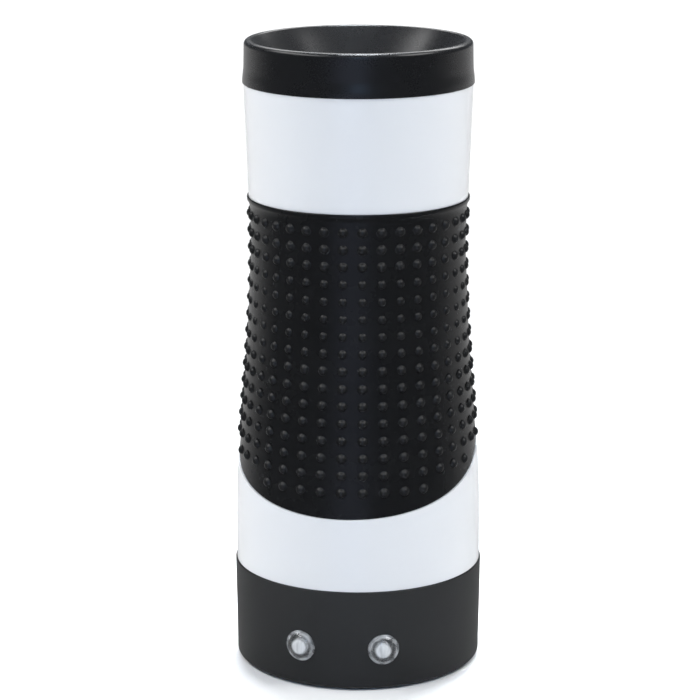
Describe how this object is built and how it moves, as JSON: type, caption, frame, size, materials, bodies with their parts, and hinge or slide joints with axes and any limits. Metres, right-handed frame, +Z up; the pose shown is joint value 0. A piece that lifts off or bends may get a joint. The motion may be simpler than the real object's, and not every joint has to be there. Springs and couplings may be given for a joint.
{
  "type": "vertical egg cooker",
  "caption": "Countertop vertical egg cooker: white waisted housing with a nubbed black grip, a funnel collar over a heated non-stick well, and a dark base with indicator lamps.",
  "frame": {"origin": "on the floor under the middle of the housing, at the level of the feet", "axes": "+Z up the cooking well, -Y to the front with the indicator lamps, +Y to the rear with the cord gland"},
  "size_m": [0.0852, 0.0852, 0.215],
  "materials": {
    "base_plastic": "fine matte texture",
    "shell_plastic": "gloss",
    "grip_rubber": "satin",
    "collar_plastic": "satin",
    "foot_rubber": "matte",
    "seal_silicone": "matte",
    "well_aluminium": "dark non-stick coating",
    "mica": "pressed mica sheet",
    "ceramic": "matte ceramic",
    "heating_wire": "oxidised",
    "sheet_steel": "satin",
    "screw_steel": "zinc plated",
    "insulation": "glass fibre felt",
    "aluminium": "bare",
    "bimetal": "bare",
    "phenolic": "moulded",
    "brass": "bare",
    "copper_alloy": "bare",
    "tinned_brass": "tinned",
    "wire_live": "insulated lead",
    "wire_heat": "braided glass fibre sleeving",
    "wire_neutral": "insulated lead",
    "wire_earth": "insulated lead",
    "wire_lamp": "insulated lead",
    "lens_clear": "clear",
    "lamp_glass": "frosted",
    "white_plastic": "moulded",
    "resistor_coat": "lacquer"
  },
  "bodies": {
    "cooker": {"base_cup": "base_plastic", "outer_shell": "shell_plastic", "grip_sleeve": "grip_rubber", "grip_nubs": "grip_rubber", "top_collar": "collar_plastic", "collar_screws": "screw_steel", "collar_seal": "seal_silicone", "shelf_seal": "seal_silicone", "cooking_tube": "well_aluminium", "inner_mica": "mica", "heating_element": "heating_wire", "outer_mica": "mica", "heater_sheath": "sheet_steel", "sheath_bolts": "screw_steel", "sheath_nuts": "screw_steel", "insulation_wrap": "insulation", "thermostat_cap": "aluminium", "snap_disc": "bimetal", "pin_guide": "ceramic", "thermostat_body": "phenolic", "arm_terminal": "brass", "contact_terminal": "brass", "thermostat_flange": "aluminium", "thermostat_screws": "screw_steel", "thermal_fuse": "tinned_brass", "spade_connectors": "tinned_brass", "crimp_ferrules": "tinned_brass", "earth_lug": "tinned_brass", "live_wire": "wire_live", "fuse_wire": "wire_heat", "heater_wire": "wire_heat", "neutral_wire": "wire_neutral", "earth_wire": "wire_earth", "base_screws": "screw_steel", "rubber_foot_1": "foot_rubber", "rubber_foot_2": "foot_rubber", "rubber_foot_3": "foot_rubber", "lens_left": "lens_clear", "lens_right": "lens_clear", "lens_nut_left": "sheet_steel", "lens_nut_right": "sheet_steel", "lamp_holder_left": "white_plastic", "lamp_holder_right": "white_plastic", "lamp_left": "lamp_glass", "lamp_right": "lamp_glass", "lamp_leads_left": "wire_lamp", "lamp_leads_right": "wire_lamp", "resistor_left": "resistor_coat", "resistor_right": "resistor_coat", "terminal_block": "white_plastic", "terminal_tubes": "brass", "terminal_screws": "screw_steel", "block_screws": "screw_steel", "cord_gland": "foot_rubber"},
    "pin": {"push_pin": "ceramic"},
    "arm": {"contact_arm": "copper_alloy"}
  },
  "joints": [
    {"name": "pin_travel", "type": "slide", "parent": "cooker", "child": "pin", "axis": [0, 0, -1], "range_m": [0, 0.00055], "stiffness_N_per_m": 200, "deforming": ["snap_disc"]},
    {"name": "arm_bend", "type": "hinge", "parent": "cooker", "child": "arm", "pos_m": [0.0036, 0, 0.0391], "axis": [0, -1, 0], "range_deg": [0, 8.8]}
  ],
  "couplings": [
    {"joint": "arm_bend", "follows": "pin_travel", "rad_per_m": 277.78}
  ]
}
